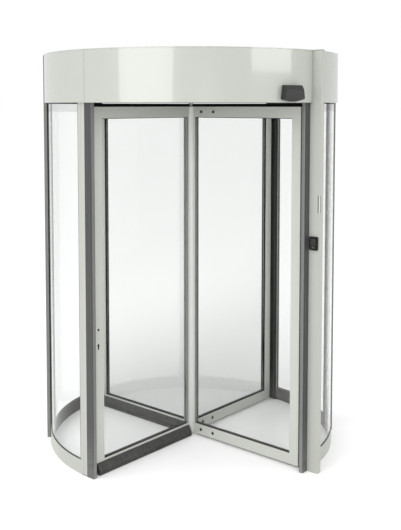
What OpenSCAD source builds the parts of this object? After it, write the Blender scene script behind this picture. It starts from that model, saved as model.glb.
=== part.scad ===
// Revolving door with four wings in a round glazed drum.
// The origin is on the floor, on the axis of the rotor. The front faces -Y and +Z is up.
// Angles on plan start at the front and grow to the right, which is anticlockwise from above.

/* [Canopy] */
// Outer radius of the canopy
canopy_r = 900; // [750:5:1200]
// Clear height under the ceiling
passage_h = 2100; // [1700:5:2600]
// Height of the canopy above the passage
canopy_h = 290; // [150:5:500]
// Thickness of the curved fascia sheets
fascia_t = 3; // [2:0.5:6]
// Angle from a throat's edge to the seam of the fascia above it
fascia_joint_lead = 1.3; // [0:0.1:4]
// Gap between two fascia sheets
fascia_seam = 2; // [1:0.5:4]
// Thickness of the ceiling panel
ceiling_t = 18; // [8:1:30]
// Thickness of the dust cover on top
cover_t = 4; // [3:0.5:10]

/* [Drum wall] */
// Distance from the canopy's edge in to the outer face of the drum wall
wall_setback = 17; // [5:1:40]
// Radial thickness of the base rail
rail_t = 18; // [14:1:24]
// Height of the base rail
rail_h = 83; // [40:1:200]
// Thickness of the curved glass
drum_glass_t = 10; // [8:1:14]
// Angle of the throat edges on each side of the front and rear axis
throat_a = 45.3; // [38:0.1:50]
// Width of a throat post along the wall
throat_post_w = 53; // [35:1:80]
// Radial depth of a throat post
throat_post_d = 27; // [22:1:40]
// Length of the rubber safety edge in front of a throat post
edge_w = 56; // [30:1:80]
// Corner radius of the rubber safety edge
edge_corner_r = 8; // [3:0.5:11]
// Width of the two posts that join the drum to the facade
side_post_w = 50; // [30:1:90]
// How far the side posts stand proud of the canopy
side_post_proud = 8; // [2:1:30]
// Distance of the side posts' inner face outside the inner face of the throat posts
side_post_inset = 8; // [4:1:16]

/* [Reader column] */
// Radial depth of a reader column
column_d = 70; // [50:1:110]
// Width of a reader column
column_w = 32; // [26:1:60]
// How far the column's face stands in front of the throat post's edge
column_lead = 10; // [2:1:16]
// Height of the middle of the card reader
reader_z = 1316; // [900:1:1500]
// Width of the card reader
reader_w = 52; // [40:1:58]
// Height of the card reader
reader_h = 76; // [50:1:140]
// Thickness of the card reader
reader_t = 14; // [8:1:25]
// Height of the middle of the indicator lens
lens_z = 1536; // [1200:1:1800]
// Height of the indicator lens
lens_h = 95; // [60:1:160]
// Width of the lens on the face towards the throat
lens_face_w = 15; // [8:1:24]
// Width of the lens on the outer face
lens_side_w = 9; // [7:1:20]
// Depth of the lens in the column
lens_d = 4; // [2:0.5:6]

/* [Motion sensor] */
// Angle of the sensor from the front axis
sensor_a = 32.6; // [15:0.1:38]
// Width of the sensor at its lower edge
sensor_w = 140; // [100:1:200]
// Height of the sensor
sensor_h = 76; // [50:1:110]
// How far the sensor stands proud of the fascia
sensor_d = 42; // [25:1:70]
// Distance from the fascia's lower edge up to the sensor
sensor_lift = 17; // [15:1:60]
// Narrowing of the sensor's width at its top, each side
sensor_bevel = 10; // [2:1:20]

/* [Rotor] */
// Gap between a wing's brush and the drum or the ceiling
brush_gap = 6; // [5:0.5:12]
// Projection of the brushes from the wing frames
brush_reach = 19; // [10:1:30]
// Thickness of the brushes
brush_t = 9; // [6:1:16]
// Clearance of the bottom brushes above the floor
floor_gap = 4; // [2:0.5:10]
// Projection of the bottom brushes
bottom_brush = 10; // [5:1:20]
// Thickness of the wing frames
wing_t = 38; // [30:1:60]
// Width of a wing's outer stile
stile_w = 60; // [40:1:90]
// Width of a wing's inner glazing channel beside the hub post
channel_w = 7; // [5:1:40]
// Height of a wing's top and bottom rails
wing_rail_h = 64; // [40:1:120]
// Thickness of the wing glass
wing_glass_t = 10; // [8:1:14]
// How far the round hub post stands out of the corner between two wings
hub_proud = 16; // [4:1:40]
// Diameter of the round shaft above the hub post
shaft_dia = 28; // [20:1:50]

/* [Bumper] */
// Projection of the rubber bumper from the wing's face
bumper_d = 28; // [12:1:45]
// Height of the bumper's upper edge above the floor
bumper_top = 66; // [40:1:110]
// Height at which the bumper's slope ends over its upright lip
bumper_lip = 28; // [15:1:36]
// Height of the bumper's lower edge above the floor
bumper_foot = 3; // [2:0.5:12]
// Depth of the ledge along the bumper's upper edge
bumper_ledge = 5; // [2:0.5:10]
// Distance from the hub post to the bumper
bumper_start = 4; // [2:1:60]

/* [Bearing and lock] */
// Running clearance of the shaft in its bearing, on the radius
shaft_clearance = 0.05; // [0.02:0.01:0.1]
// Clearance of the shaft in the ceiling, on the radius
ceiling_hole_gap = 4; // [3:0.5:10]
// Height of the bearing housing
bearing_h = 80; // [50:1:120]
// Wall of the bearing housing around the shaft
bearing_wall = 26; // [15:1:50]
// Radius of the bearing's flange
flange_r = 95; // [75:1:140]
// Thickness of the bearing's flange
flange_t = 12; // [8:1:20]
// Diameter of the blind holes over the wing clamps
clamp_hole_dia = 14; // [8:0.5:20]
// Depth of the blind holes
clamp_hole_depth = 8; // [4:0.5:12]
// Distances of the blind holes from the axis
clamp_hole_r = [99, 195];
// Height of the lock cylinder
lock_z = 730; // [500:1:1100]
// Height of the bolt hole above the lock cylinder
lock_hole_rise = 99; // [60:1:160]

/* [Hidden] */

$fn = 180;
door_h = passage_h + canopy_h;
// Radii of the drum, from the canopy inwards
wall_out_r = canopy_r - wall_setback;
post_in_r = wall_out_r - throat_post_d;
rail_in_r = wall_out_r - rail_t;
drum_glass_in_r = wall_out_r - rail_t / 2 - drum_glass_t / 2;
side_post_in_r = post_in_r + side_post_inset;
fascia_in_r = canopy_r - fascia_t;
// Quarters of the fascia meet over the safety edges
fascia_joint_a = throat_a - fascia_joint_lead;
// Round hub post that carries the wings: the corner between two wings lies inside it
hub_r = wing_t / 2 * sqrt(2) + hub_proud;
// Radii and heights of the rotor
brush_r = post_in_r - brush_gap;
wing_r = brush_r - brush_reach;
brush_top = passage_h - brush_gap + 1;
wing_top = brush_top - brush_reach + 1;
wing_foot = floor_gap + bottom_brush;
glass_in_r = hub_r + channel_w;
glass_out_r = wing_r - stile_w;
// Heights of the bearing on top of the ceiling
ceiling_top = passage_h + ceiling_t;
bearing_top = ceiling_top + bearing_h;
collar_h = 18;
collar_dia = shaft_dia + 30;
collar_gap = 0.3;
shaft_end = 20;
// Fits between curved pieces of the drum
curve_gap = 0.3;
// Overshoot of cutting shapes
cut = 1;
far = 2 * canopy_r;

alloy = [0.83, 0.84, 0.81];
dark_rubber = [0.30, 0.30, 0.31];
black = [0.10, 0.10, 0.11];
grey_plastic = [0.33, 0.34, 0.35];
clear_glass = [0.86, 0.92, 0.90, 0.35];

// Turns what stands at the front to an angle on plan
module at(a) { rotate([0, 0, a]) children(); }

// Curved wall between two radii, two angles and two heights
module arc_wall(r_in, r_out, a_from, a_to, z_from, z_to) {
    at(a_from - 90)
        rotate_extrude(angle = a_to - a_from)
            translate([r_in, z_from])
                square([r_out - r_in, z_to - z_from]);
}

// Upright box at the front: from t_from to t_to along the wall, between two radii
module front_box(t_from, t_to, r_in, r_out, z_from, z_to) {
    translate([t_from, -r_out, z_from])
        cube([t_to - t_from, r_out - r_in, z_to - z_from]);
}

// The four throats: the frame of each has the safety edge on its left and the wall on its right
module throat_front_right() { at(throat_a) children(); }
module throat_front_left() { mirror([1, 0, 0]) throat_front_right() children(); }
module throat_rear_left() { at(180) throat_front_right() children(); }
module throat_rear_right() { at(180) throat_front_left() children(); }

// Space of the two side posts, for what ends against them
module side_post_space() {
    for (side = [90, -90])
        at(side)
            front_box(
                -side_post_w / 2, side_post_w / 2,
                side_post_in_r, canopy_r + side_post_proud,
                -cut, door_h + cut
            );
}

// Space of the four throat posts and what is in front of them
module throat_space() {
    w = throat_post_w + edge_w;
    for (turn = [0, 180])
        at(turn) {
            throat_front_right()
                front_box(-edge_w, throat_post_w, 0, far, -cut, door_h);
            throat_front_left()
                front_box(-edge_w, throat_post_w, 0, far, -cut, door_h);
        }
}

// One quarter of the canopy's fascia
module fascia(a_from, a_to) {
    half_seam = asin(fascia_seam / 2 / canopy_r);
    color(alloy)
        difference() {
            arc_wall(fascia_in_r, canopy_r, a_from + half_seam, a_to - half_seam, passage_h, door_h);
            side_post_space();
        }
}

module fascia_front() fascia(-fascia_joint_a, fascia_joint_a);
module fascia_right() fascia(fascia_joint_a, 180 - fascia_joint_a);
module fascia_rear() fascia(180 - fascia_joint_a, 180 + fascia_joint_a);
module fascia_left() fascia(180 + fascia_joint_a, 360 - fascia_joint_a);

module ceiling() {
    color(alloy)
        difference() {
            translate([0, 0, passage_h])
                cylinder(r = fascia_in_r, h = ceiling_t);
            translate([0, 0, passage_h - cut])
                cylinder(r = shaft_dia / 2 + ceiling_hole_gap, h = ceiling_t + 2 * cut);
            side_post_space();
        }
}

module top_cover() {
    color(alloy)
        difference() {
            translate([0, 0, door_h - cover_t])
                cylinder(r = fascia_in_r, h = cover_t);
            side_post_space();
        }
}

// Flanged housing of the rotor's bearing, inside the canopy
module bearing_housing() {
    bore_r = shaft_dia / 2 + shaft_clearance;
    color(grey_plastic)
        translate([0, 0, ceiling_top])
            difference() {
                union() {
                    cylinder(r = flange_r, h = flange_t);
                    cylinder(r = shaft_dia / 2 + bearing_wall, h = bearing_h);
                }
                translate([0, 0, -cut])
                    cylinder(r = bore_r, h = bearing_h + 2 * cut);
            }
}

// Curved piece of the wall on one side, in two lengths between the throat posts and the side post
module side_wall(side, r_in, r_out, z_from, z_to) {
    at(side)
        difference() {
            arc_wall(r_in, r_out, throat_a - 90, 90 - throat_a, z_from, z_to);
            at(-side)
                throat_space();
            at(-side)
                side_post_space();
        }
}

module base_rail(side) {
    color(alloy)
        side_wall(side, rail_in_r, wall_out_r, 0, rail_h);
}

module base_rail_right() base_rail(90);
module base_rail_left() base_rail(-90);

module drum_glass(side) {
    color(clear_glass)
        side_wall(side, drum_glass_in_r, drum_glass_in_r + drum_glass_t, rail_h, passage_h);
}

module drum_glass_right() drum_glass(90);
module drum_glass_left() drum_glass(-90);

// Post that joins the drum to the facade, past the canopy's full height
module side_post() {
    color(alloy)
        front_box(
            -side_post_w / 2, side_post_w / 2,
            side_post_in_r, canopy_r + side_post_proud,
            0, door_h
        );
}

module side_post_right() at(90) side_post();
module side_post_left() at(-90) side_post();

module throat_post() {
    color(alloy)
        front_box(0, throat_post_w, post_in_r, wall_out_r, 0, passage_h);
}

module throat_post_front_right() throat_front_right() throat_post();
module throat_post_front_left() throat_front_left() throat_post();
module throat_post_rear_left() throat_rear_left() throat_post();
module throat_post_rear_right() throat_rear_right() throat_post();

// Rubber safety edge with a rounded nose, fixed to the throat post
module safety_edge() {
    color(dark_rubber)
        linear_extrude(height = passage_h)
            union() {
                translate([-edge_w + edge_corner_r, -wall_out_r])
                    square([edge_w - edge_corner_r, throat_post_d]);
                translate([-edge_w, -wall_out_r + edge_corner_r])
                    square([edge_corner_r + cut, throat_post_d - 2 * edge_corner_r]);
                for (r = [wall_out_r - edge_corner_r, post_in_r + edge_corner_r])
                    translate([-edge_w + edge_corner_r, -r])
                        circle(r = edge_corner_r);
            }
}

module safety_edge_front_right() throat_front_right() safety_edge();
module safety_edge_front_left() throat_front_left() safety_edge();
module safety_edge_rear_left() throat_rear_left() safety_edge();
module safety_edge_rear_right() throat_rear_right() safety_edge();

// Radii of the reader column, which stands on the outer face of the throat post
column_in_r = wall_out_r;
column_out_r = column_in_r + column_d;

// Lens that wraps the column's outer corner, or its recess
module lens_shape() {
    z_from = lens_z - lens_h / 2;
    z_to = lens_z + lens_h / 2;
    difference() {
        front_box(
            -column_lead, -column_lead + lens_side_w,
            column_out_r - lens_face_w, column_out_r, z_from, z_to
        );
        front_box(
            -column_lead + lens_d, -column_lead + lens_side_w + cut,
            column_out_r - lens_face_w - cut, column_out_r - lens_d,
            z_from - cut, z_to + cut
        );
    }
}

// Column that carries the card reader and the indicator, outside the throat post
module reader_column() {
    color(alloy)
        difference() {
            front_box(
                -column_lead, column_w - column_lead,
                column_in_r, column_out_r, 0, door_h
            );
            translate([0, 0, passage_h])
                cylinder(r = canopy_r + curve_gap, h = canopy_h + cut);
            lens_shape();
        }
}

module reader_column_front() throat_front_right() reader_column();
module reader_column_rear() throat_rear_left() reader_column();

module card_reader() {
    mid_r = (column_in_r + column_out_r) / 2;
    color(black)
        front_box(
            -column_lead - reader_t, -column_lead,
            mid_r - reader_w / 2, mid_r + reader_w / 2,
            reader_z - reader_h / 2, reader_z + reader_h / 2
        );
}

module card_reader_front() throat_front_right() card_reader();
module card_reader_rear() throat_rear_left() card_reader();

module indicator_lens() {
    color([0.78, 0.80, 0.78])
        lens_shape();
}

module indicator_lens_front() throat_front_right() indicator_lens();
module indicator_lens_rear() throat_rear_left() indicator_lens();

// Motion sensor on the fascia over the entrance
module motion_sensor() {
    z0 = passage_h + sensor_lift;
    nose = 12;
    shoulder = 24;
    color(grey_plastic)
        at(sensor_a)
            difference() {
                intersection() {
                    translate([0, 0, z0])
                        rotate([90, 0, 0])
                            linear_extrude(height = canopy_r + sensor_d)
                                polygon([
                                    [-sensor_w / 2, 0],
                                    [-sensor_w / 6, -nose],
                                    [sensor_w / 6, -nose],
                                    [sensor_w / 2, 0],
                                    [sensor_w / 2 - sensor_bevel, sensor_h],
                                    [-sensor_w / 2 + sensor_bevel, sensor_h]
                                ]);
                    translate([-sensor_w, 0, z0])
                        rotate([90, 0, 90])
                            linear_extrude(height = 2 * sensor_w)
                                polygon([
                                    [-fascia_in_r + sensor_w / 4, -nose - cut],
                                    [-canopy_r - sensor_d + shoulder, -nose - cut],
                                    [-canopy_r - sensor_d, nose / 2],
                                    [-canopy_r - sensor_d, sensor_h - shoulder],
                                    [-canopy_r - sensor_d + shoulder / 2, sensor_h + cut],
                                    [-fascia_in_r + sensor_w / 4, sensor_h + cut]
                                ]);
                }
                translate([0, 0, passage_h - sensor_h])
                    cylinder(r = canopy_r, h = canopy_h + 2 * sensor_h);
            }
}

module motion_sensor_front() motion_sensor();
module motion_sensor_rear() at(180) motion_sensor();

// Round hub post with the shaft that hangs in the bearing
module centre_shaft() {
    shaft_top = bearing_top + collar_h + shaft_end;
    color(alloy)
        union() {
            translate([0, 0, wing_foot])
                cylinder(r = hub_r, h = wing_top - wing_foot);
            translate([0, 0, wing_top - cut])
                cylinder(d = shaft_dia, h = shaft_top - wing_top + cut);
            translate([0, 0, bearing_top + collar_gap])
                cylinder(d = collar_dia, h = collar_h);
        }
}

// Frame of one wing, with blind holes over its clamps
module wing_frame() {
    rail_mid = wing_rail_h / 2;
    color(alloy)
        difference() {
            front_box(-wing_t / 2, wing_t / 2, 0, wing_r, wing_foot, wing_top);
            front_box(
                -wing_t, wing_t, glass_in_r, glass_out_r,
                wing_foot + wing_rail_h, wing_top - wing_rail_h
            );
            cylinder(r = hub_r + curve_gap, h = door_h);
            for (z = [wing_foot + rail_mid, wing_top - rail_mid])
                for (r = clamp_hole_r)
                    translate([-wing_t / 2 - cut, -r, z])
                        rotate([0, 90, 0])
                            cylinder(d = clamp_hole_dia, h = clamp_hole_depth + cut);
        }
}

// Holes for the lock cylinder and its bolt in the leading face of the outer stile
module lock_cut() {
    r = wing_r - 20;
    depth = 20;
    translate([wing_t / 2 - depth, -r, 0])
        rotate([0, 90, 0])
            linear_extrude(height = depth + cut)
                union() {
                    translate([-lock_z - 10, 0])
                        circle(r = 8.5);
                    translate([-lock_z - 10, -5])
                        square([25, 10]);
                    translate([-lock_z - lock_hole_rise, 0])
                        circle(r = 5);
                }
}

module wing_frame_front_right() at(45) wing_frame();
module wing_frame_rear_right() at(135) wing_frame();
module wing_frame_rear_left() at(225) wing_frame();
module wing_frame_front_left()
    at(315)
        color(alloy)
            difference() {
                wing_frame();
                lock_cut();
            }

module wing_glass() {
    color(clear_glass)
        front_box(
            -wing_glass_t / 2, wing_glass_t / 2, glass_in_r, glass_out_r,
            wing_foot + wing_rail_h, wing_top - wing_rail_h
        );
}

module wing_glass_front_right() at(45) wing_glass();
module wing_glass_rear_right() at(135) wing_glass();
module wing_glass_rear_left() at(225) wing_glass();
module wing_glass_front_left() at(315) wing_glass();

// Brush strip along the top, the outer edge and the foot of a wing
module wing_brush() {
    top_in_r = shaft_dia / 2 + 1;
    color(black)
        difference() {
            front_box(-brush_t / 2, brush_t / 2, top_in_r, brush_r, floor_gap, brush_top);
            front_box(-brush_t, brush_t, 0, glass_in_r, 0, wing_top);
            front_box(-brush_t, brush_t, 0, wing_r, wing_foot, wing_top);
        }
}

module wing_brush_front_right() at(45) wing_brush();
module wing_brush_rear_right() at(135) wing_brush();
module wing_brush_rear_left() at(225) wing_brush();
module wing_brush_front_left() at(315) wing_brush();

// Rubber bumper along the foot of a wing, on its leading face
module bumper() {
    root_r = hub_r + bumper_start;
    color(dark_rubber)
        translate([wing_t / 2, -root_r, 0])
            rotate([90, 0, 0])
                linear_extrude(height = wing_r - root_r)
                    polygon([
                        [0, bumper_foot],
                        [0, bumper_top],
                        [bumper_ledge, bumper_top],
                        [bumper_d, bumper_lip],
                        [bumper_d, bumper_foot]
                    ]);
}

module bumper_front_right() at(45) bumper();
module bumper_rear_right() at(135) bumper();
module bumper_rear_left() at(225) bumper();
module bumper_front_left() at(315) bumper();

fascia_front();
fascia_right();
fascia_rear();
fascia_left();
ceiling();
top_cover();
bearing_housing();
base_rail_right();
base_rail_left();
drum_glass_right();
drum_glass_left();
side_post_right();
side_post_left();
throat_post_front_right();
throat_post_front_left();
throat_post_rear_left();
throat_post_rear_right();
safety_edge_front_right();
safety_edge_front_left();
safety_edge_rear_left();
safety_edge_rear_right();
reader_column_front();
reader_column_rear();
card_reader_front();
card_reader_rear();
indicator_lens_front();
indicator_lens_rear();
motion_sensor_front();
motion_sensor_rear();
centre_shaft();
wing_frame_front_right();
wing_frame_rear_right();
wing_frame_rear_left();
wing_frame_front_left();
wing_glass_front_right();
wing_glass_rear_right();
wing_glass_rear_left();
wing_glass_front_left();
wing_brush_front_right();
wing_brush_rear_right();
wing_brush_rear_left();
wing_brush_front_left();
bumper_front_right();
bumper_rear_right();
bumper_rear_left();
bumper_front_left();
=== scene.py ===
"""Looks of a four-wing revolving door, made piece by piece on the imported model's frame."""

import logging
import math
from collections.abc import Callable
from dataclasses import dataclass
from enum import Enum

import bmesh
import bpy
from mathutils import Matrix, Vector


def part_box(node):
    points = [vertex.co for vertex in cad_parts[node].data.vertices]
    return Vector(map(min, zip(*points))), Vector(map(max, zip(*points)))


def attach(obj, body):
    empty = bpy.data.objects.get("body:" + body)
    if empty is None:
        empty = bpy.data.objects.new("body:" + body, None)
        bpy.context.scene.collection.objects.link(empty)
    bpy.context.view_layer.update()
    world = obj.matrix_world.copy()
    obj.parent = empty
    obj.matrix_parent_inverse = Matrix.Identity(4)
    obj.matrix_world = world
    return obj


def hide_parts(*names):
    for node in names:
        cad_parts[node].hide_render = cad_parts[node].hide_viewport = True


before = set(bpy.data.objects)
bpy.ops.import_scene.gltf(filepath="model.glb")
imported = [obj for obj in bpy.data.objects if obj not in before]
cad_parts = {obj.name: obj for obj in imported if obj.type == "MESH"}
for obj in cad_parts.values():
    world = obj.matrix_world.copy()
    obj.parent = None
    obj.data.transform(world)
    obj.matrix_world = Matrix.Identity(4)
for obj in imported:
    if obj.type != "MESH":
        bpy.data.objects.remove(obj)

LOG = logging.getLogger("revolving_door")
MM = 0.001
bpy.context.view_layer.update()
SMOOTH_ANGLE = 38.0
EVEN_WEIGHT = 60
MELT = 0.004
WELD = 0.002
FACING = 0.9
Shape = bmesh.types.BMesh
Pair = tuple[float, float]
Point = tuple[float, float, float]
Section = list[Pair]


class Body(Enum):
    """Moving body that a piece belongs to."""

    DRUM = "drum"
    ROTOR = "rotor"


class Grain(Enum):
    """Fine relief that a finish shows close up, by its stretch along each axis."""

    POWDER = (1.0, 1.0, 1.0)
    DRAWN = (1.0, 1.0, 0.012)
    BRISTLE = (1.0, 1.0, 0.2)


# ---------------------------------------------------------------- shader groups


@dataclass
class Wiring:
    """Node tree that is filled node by node under short labels."""

    tree: bpy.types.NodeTree
    nodes: dict[str, bpy.types.Node]

    def add(self, label: str, kind: str, values: dict[str | int, object] | None = None, **settings: object) -> None:
        """Add a node.

        Args:
            label: Label that links use.
            kind: Blender's node type after "ShaderNode".
            values: Values of inputs, by name or number.
            settings: Properties of the node, set before the values.
        """
        node = self.tree.nodes.new("ShaderNode" + kind)
        for key, value in settings.items():
            setattr(node, key, value)
        self.nodes[label] = node
        self.fill(label, values or {})

    def fill(self, label: str, values: dict[str | int, object]) -> None:
        """Set the inputs of a node to plain values."""
        for key, value in values.items():
            self.nodes[label].inputs[key].default_value = value

    def link(self, links: str) -> bpy.types.NodeTree:
        """Link sockets, by name or number.

        Args:
            links: Links such as "a.Colour > b.0", parted by semicolons or line ends.

        Returns:
            The tree.
        """
        for text in filter(str.strip, links.replace("\n", ";").split(";")):
            ends = [end.strip().split(".") for end in text.split(">")]
            (a, source), (b, target) = [(label, int(key) if key.isdigit() else key) for label, key in ends]
            self.tree.links.new(self.nodes[a].outputs[source], self.nodes[b].inputs[target])
        return self.tree


def start_group(name: str, inputs: dict[str, object], outputs: tuple[str, ...]) -> Wiring:
    """Start a shader node group.

    Args:
        name: Name of the group.
        inputs: Default value of each input; a tuple of four is a colour, one of three or None a vector.
        outputs: Names of the outputs; Colour is a colour and the others are numbers.

    Returns:
        The wiring of the group, with the nodes "given" and "made".
    """
    tree = bpy.data.node_groups.new(name, "ShaderNodeTree")
    for label, value in inputs.items():
        kind = "Float" if isinstance(value, float) else "Color" if value and len(value) == 4 else "Vector"
        socket = tree.interface.new_socket(label, in_out="INPUT", socket_type="NodeSocket" + kind)
        if value is not None:
            socket.default_value = value
    for label in outputs:
        kind = "Color" if label == "Colour" else "Float"
        tree.interface.new_socket(label, in_out="OUTPUT", socket_type="NodeSocket" + kind)
    return Wiring(tree, {"given": tree.nodes.new("NodeGroupInput"), "made": tree.nodes.new("NodeGroupOutput")})


def tone_group() -> bpy.types.NodeTree:
    """Build the group that drifts a colour slightly lighter and darker in soft clouds.

    Returns:
        The group.
    """
    inputs = {"Vector": None, "Colour": (0.8, 0.8, 0.8, 1.0), "Scale": 4.0, "Spread": 0.05}
    net = start_group("tone_drift", inputs, ("Colour", "Cloud"))
    net.add("cloud", "TexNoise", {"Detail": 4.0})
    net.add("centred", "Math", {1: 0.5}, operation="SUBTRACT")
    net.add("swing", "Math", operation="MULTIPLY")
    net.add("factor", "Math", {1: 1.0}, operation="ADD")
    net.add("shade", "VectorMath", operation="SCALE")
    return net.link("""
        given.Vector > cloud.Vector; given.Scale > cloud.Scale; cloud.Fac > centred.0; centred.0 > swing.0
        given.Spread > swing.1; swing.0 > factor.0; given.Colour > shade.0; factor.0 > shade.Scale
        shade.0 > made.Colour; cloud.Fac > made.Cloud
    """)


def grain_group() -> bpy.types.NodeTree:
    """Build the group for fine surface relief, round or drawn out along one direction.

    Returns:
        The group.
    """
    inputs = {"Vector": None, "Stretch": (1.0, 1.0, 1.0), "Coarse": 200.0, "Fine": 900.0}
    net = start_group("surface_grain", inputs, ("Height", "Streak"))
    net.add("drawn", "VectorMath", operation="MULTIPLY")
    net.add("coarse", "TexNoise", {"Detail": 2.0})
    net.add("fine", "TexNoise", {"Detail": 2.0})
    net.add("both", "Math", operation="ADD")
    return net.link("""
        given.Vector > drawn.0; given.Stretch > drawn.1; drawn.0 > coarse.Vector; given.Coarse > coarse.Scale
        drawn.0 > fine.Vector; given.Fine > fine.Scale; coarse.Fac > both.0; fine.Fac > both.1
        both.0 > made.Height; coarse.Fac > made.Streak
    """)


def scuff_group() -> bpy.types.NodeTree:
    """Build the group for the faint scuffs and dust that gather near the floor.

    Returns:
        The group.
    """
    net = start_group("floor_scuff", {"Vector": None, "Reach": 0.35, "Amount": 0.5}, ("Mask",))
    net.add("parts", "SeparateXYZ")
    net.add("fade", "MapRange", {"To Min": 1.0, "To Max": 0.0}, interpolation_type="SMOOTHSTEP")
    net.add("marks", "TexNoise", {"Scale": 38.0, "Detail": 6.0})
    net.add("patches", "Math", operation="MULTIPLY")
    net.add("mask", "Math", operation="MULTIPLY")
    return net.link("""
        given.Vector > parts.0; given.Vector > marks.Vector; parts.Z > fade.Value; given.Reach > fade.From Max
        fade.0 > patches.0; marks.Fac > patches.1; patches.0 > mask.0; given.Amount > mask.1; mask.0 > made.Mask
    """)


def foot_shade_group() -> bpy.types.NodeTree:
    """Build the group that paints shade on a pane, greying it softly towards its foot.

    Returns:
        The group.
    """
    inputs = {"Vector": None, "Colour": (1.0, 1.0, 1.0, 1.0), "Reach": 1.0, "Amount": 0.0}
    net = start_group("painted_foot_shade", inputs, ("Colour",))
    net.add("parts", "SeparateXYZ")
    net.add("lean", "Math", {1: -0.35}, operation="MULTIPLY_ADD")
    net.add("fade", "MapRange", {"From Min": 0.25, "To Min": 1.0, "To Max": 0.0}, interpolation_type="SMOOTHSTEP")
    net.add("amount", "Math", operation="MULTIPLY")
    net.add("keep", "Math", {0: 1.0}, operation="SUBTRACT")
    net.add("shade", "VectorMath", operation="SCALE")
    return net.link("""
        given.Vector > parts.0; parts.X > lean.0; parts.Z > lean.2; lean.0 > fade.Value; given.Reach > fade.From Max
        fade.0 > amount.0; given.Amount > amount.1; amount.0 > keep.1; given.Colour > shade.0
        keep.0 > shade.Scale; shade.0 > made.Colour
    """)


@dataclass(frozen=True)
class ShaderKit:
    """The shader groups that the finishes share."""

    tone: bpy.types.NodeTree
    grain: bpy.types.NodeTree
    scuff: bpy.types.NodeTree
    # Group that paints shade on panes towards their foot.
    veil: bpy.types.NodeTree

    @classmethod
    def make(cls) -> "ShaderKit":
        """Build each group once."""
        return cls(tone_group(), grain_group(), scuff_group(), foot_shade_group())


# --------------------------------------------------------------------- finishes


def start_material(name: str) -> tuple[bpy.types.Material, Wiring]:
    """Start a material.

    Args:
        name: Name of the material.

    Returns:
        The material, and its wiring with the nodes "shader", "out" and "place".
    """
    material = bpy.data.materials.new(name)
    material.use_nodes = True
    nodes = material.node_tree.nodes
    net = Wiring(material.node_tree, {"shader": nodes["Principled BSDF"], "out": nodes["Material Output"]})
    net.add("place", "TexCoord")
    return material, net


@dataclass(frozen=True)
class SolidFinish:
    """Opaque finish of metal, rubber or plastic; colours are linear and sizes are in metres."""

    name: str
    colour: Point
    roughness: float
    metallic: float = 0.0
    coat: float = 0.0
    coat_roughness: float = 0.1
    grain: Grain = Grain.POWDER
    coarse: float = 260.0
    fine: float = 1100.0
    relief: float = 0.00002
    spread: float = 0.05
    scuff: float = 0.25
    specular: float = 0.5

    def build(self, kit: ShaderKit) -> bpy.types.Material:
        """Make the material.

        Args:
            kit: The shared shader groups.

        Returns:
            The node material of this finish.
        """
        material, net = start_material(self.name)
        tone = {"Colour": (*self.colour, 1.0), "Scale": 3.0, "Spread": self.spread}
        grain = {"Stretch": self.grain.value, "Coarse": self.coarse, "Fine": self.fine}
        net.add("tone", "Group", tone, node_tree=kit.tone)
        net.add("grain", "Group", grain, node_tree=kit.grain)
        net.add("scuff", "Group", {"Amount": self.scuff}, node_tree=kit.scuff)
        net.add("streak", "MapRange", {"To Min": self.roughness * 0.92, "To Max": self.roughness * 1.08})
        net.add("rough", "Math", {1: 0.35}, operation="MULTIPLY_ADD", use_clamp=True)
        net.add("dusty", "Mix", {"B": (0.42, 0.41, 0.39, 1.0)}, data_type="RGBA")
        net.add("bump", "Bump", {"Distance": self.relief, "Strength": 0.6})
        net.link("""
            place.Object > tone.Vector; place.Object > grain.Vector; place.Object > scuff.Vector
            grain.Streak > streak.Value; scuff.Mask > rough.0; streak.0 > rough.2; scuff.Mask > dusty.Factor
            tone.Colour > dusty.A; dusty.Result > shader.Base Color; rough.0 > shader.Roughness
            grain.Height > bump.Height; bump.0 > shader.Normal
        """)
        net.fill("shader", {
            "Metallic": self.metallic, "Specular IOR Level": self.specular,
            "Coat Weight": self.coat, "Coat Roughness": self.coat_roughness,
        })
        return material


@dataclass(frozen=True)
class GlassFinish:
    """Clear pane that lets lamps through; the tint is linear."""

    name: str
    tint: Point
    smear: float = 0.004
    # Amount and reach of the painted shade that greys the pane towards its foot.
    veil: float = 0.0
    foot_shade_reach: float = 1.05
    ior: float = 1.5

    def build(self, kit: ShaderKit) -> bpy.types.Material:
        """Make the material.

        Args:
            kit: The shared shader groups.

        Returns:
            The node material of this glass.
        """
        material, net = start_material(self.name)
        tone = {"Colour": (*self.tint, 1.0), "Scale": 2.0, "Spread": 0.008}
        net.add("tone", "Group", tone, node_tree=kit.tone)
        net.add("wipe", "MapRange", {"From Min": 0.45, "From Max": 0.8, "To Max": self.smear})
        net.add("clear", "BsdfTransparent", {"Color": (0.97, 0.98, 0.975, 1.0)})
        net.add("rays", "LightPath")
        net.add("mix", "MixShader")
        # Painted shade greys the pane's tint towards its foot.
        net.add("veil", "Group", {"Reach": self.foot_shade_reach, "Amount": self.veil}, node_tree=kit.veil)
        net.link("""
            place.Object > tone.Vector; place.Object > veil.Vector; tone.Colour > veil.Colour
            veil.Colour > shader.Base Color; tone.Cloud > wipe.Value; wipe.0 > shader.Roughness
            rays.Is Shadow Ray > mix.0; shader.0 > mix.1; clear.0 > mix.2; mix.0 > out.Surface
        """)
        net.fill("shader", {"Transmission Weight": 1.0, "IOR": self.ior})
        return material


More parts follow.
